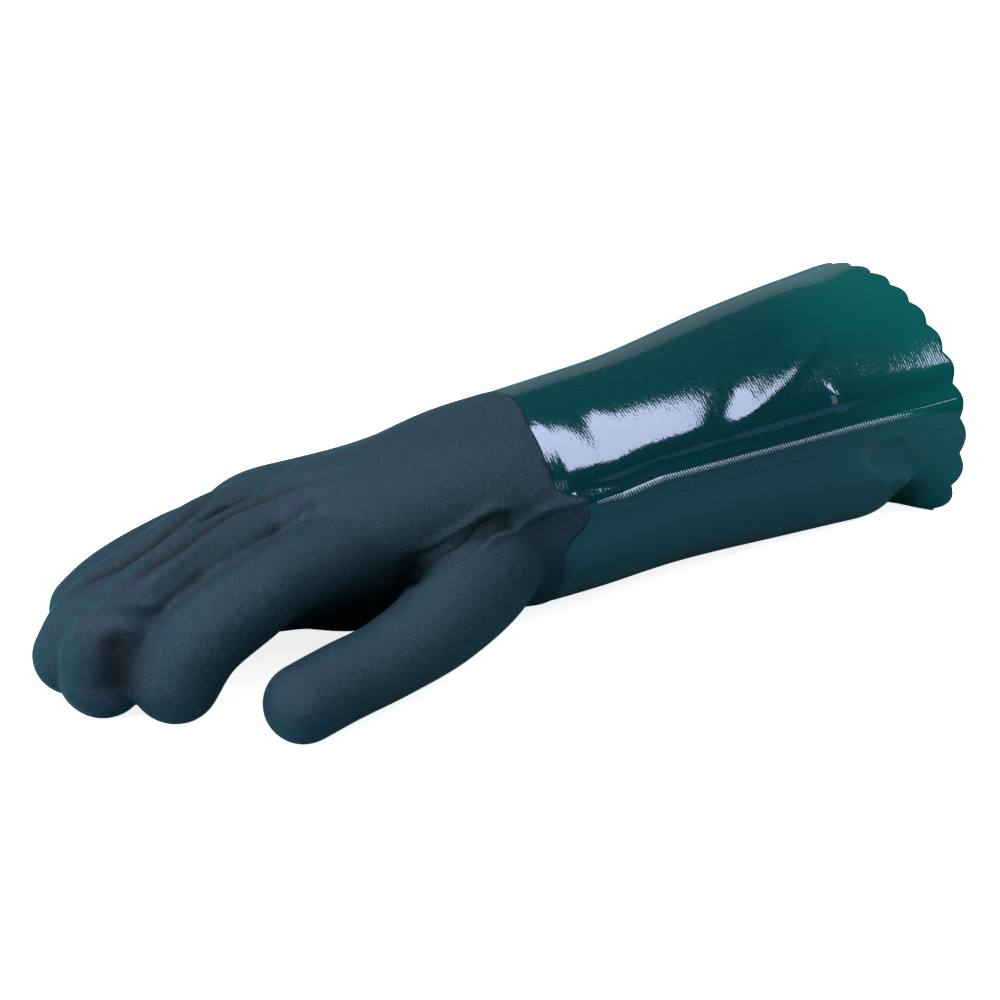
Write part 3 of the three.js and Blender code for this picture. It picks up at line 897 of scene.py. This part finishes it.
def sourceToFrame(rows=40):
    # How far this frame's middle lies from the CAD source's, in millimetres: the solid cuff's box here,
    # against the same cuff worked out in the source's frame.
    trial = cuffSide(rows, cuffTurns(), 0.0, gauntlet["solidScallopDepth"])[..., 1]
    low, high = (np.array(corner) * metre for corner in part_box("cuff"))
    return np.array([low[0] - gauntlet["gap"], (low[1] + high[1] - trial.min() - trial.max()) / 2, 0.0])


shift = sourceToFrame()
print("shift", shift.round(3), "scallops", scallops)

hand, edgePoints = makeHand(shift)
hand.data.materials.append(matteCoat())
print("hand made")
cuff = makeCuff(shift, edgePoints)
cuff.data.materials.append(glossCoat())
cuff.data.materials.append(jerseyBack())
print("cuff made")
welt = makeSeam(shift)
welt.data.materials.append(weltCoat())
print("seam made")

studio = {
    "floorSize": 6.0, "floorColour": (0.9, 0.9, 0.9, 1.0), "floorRoughness": 0.9,
    "floorReflected": (0.10, 0.28, 0.33, 1.0), "floorGlow": (0.84, 0.84, 0.84, 1.0), "world": 0.05,
    "aim": (0.0, 0.0, 0.04),
    # place, long axis, width and length, watts, colour
    "softboxes": {
        "key": ((0.409, -0.28, 0.811), (-0.19, 0.86, 0.31), (0.22, 1.04), 8.6, (0.84, 0.89, 1.0)),
        "front": ((-0.20, -1.21, 0.39), (1.0, 0.0, 0.0), (0.5, 1.0), 2.8, (0.85, 0.92, 1.0)),
        "behind": ((0.85, 1.2, 0.30), (1.0, -0.6, 0.0), (0.6, 1.5), 0.8, (0.7, 0.85, 1.0)),
        "left": ((-0.55, 0.30, 0.75), (0.5, 0.8, 0.2), (0.35, 0.5), 13.0, (0.8, 0.9, 1.0)),
        "tips": ((-1.10, -0.05, 0.36), (0.0, 1.0, 0.0), (0.25, 0.35), 9.0, (0.8, 0.9, 1.0)),
    },
}


def makeFloor():
    # A pale floor that glows where it is seen straight. Its light on the glove is weaker and bluish green.
    half = studio["floorSize"] / 2
    corners = [(-half, -half, 0), (half, -half, 0), (half, half, 0), (-half, half, 0)]
    mesh = bpy.data.meshes.new("floor")
    mesh.from_pydata(corners, [], [(0, 1, 2, 3)])
    floor = bpy.data.objects.new("floor", mesh)
    bpy.context.scene.collection.objects.link(floor)
    pale = Finish("pale_floor", **{"Roughness": studio["floorRoughness"], "Emission Strength": 1.0})
    straight = pale.node("ShaderNodeLightPath", {}, {}, "Is Camera Ray")
    pale.set(Base_Color=pale.blend(straight, studio["floorReflected"], studio["floorColour"]),
             Emission_Color=pale.blend(straight, colour(0, 0, 0), studio["floorGlow"]))
    mesh.materials.append(pale.material)


def makeSoftbox(name, place, axis, size, watts, tint):
    # A rectangle of light that faces the aim, with its length along the axis.
    lamp = bpy.data.lights.new(name, "AREA")
    lamp.shape, lamp.size, lamp.size_y = "RECTANGLE", *size
    lamp.energy, lamp.color = watts, tint
    box = bpy.data.objects.new(name, lamp)
    away = (Vector(place) - Vector(studio["aim"])).normalized()
    along = (Vector(axis) - Vector(axis).dot(away) * away).normalized()
    facing = Matrix([along.cross(away), along, away]).transposed()
    box.matrix_world = Matrix.Translation(place) @ facing.to_4x4()
    bpy.context.scene.collection.objects.link(box)


def makeWorld():
    # White where it is seen straight, and nearly dark for all other light.
    world = bpy.data.worlds.new("studio")
    bpy.context.scene.world = world
    world.use_nodes = True
    nodes, links = world.node_tree.nodes, world.node_tree.links
    straight = nodes.new("ShaderNodeLightPath")
    strength = nodes.new("ShaderNodeMapRange")
    links.new(straight.outputs["Is Camera Ray"], strength.inputs["Value"])
    strength.inputs["To Min"].default_value = studio["world"]
    strength.inputs["To Max"].default_value = 1.0
    nodes["Background"].inputs["Color"].default_value = (1, 1, 1, 1)
    links.new(strength.outputs["Result"], nodes["Background"].inputs["Strength"])
    bpy.context.scene.view_settings.view_transform = "Standard"


makeFloor()
for name, settings in studio["softboxes"].items():
    makeSoftbox(name, *settings)
makeWorld()
print("studio made")
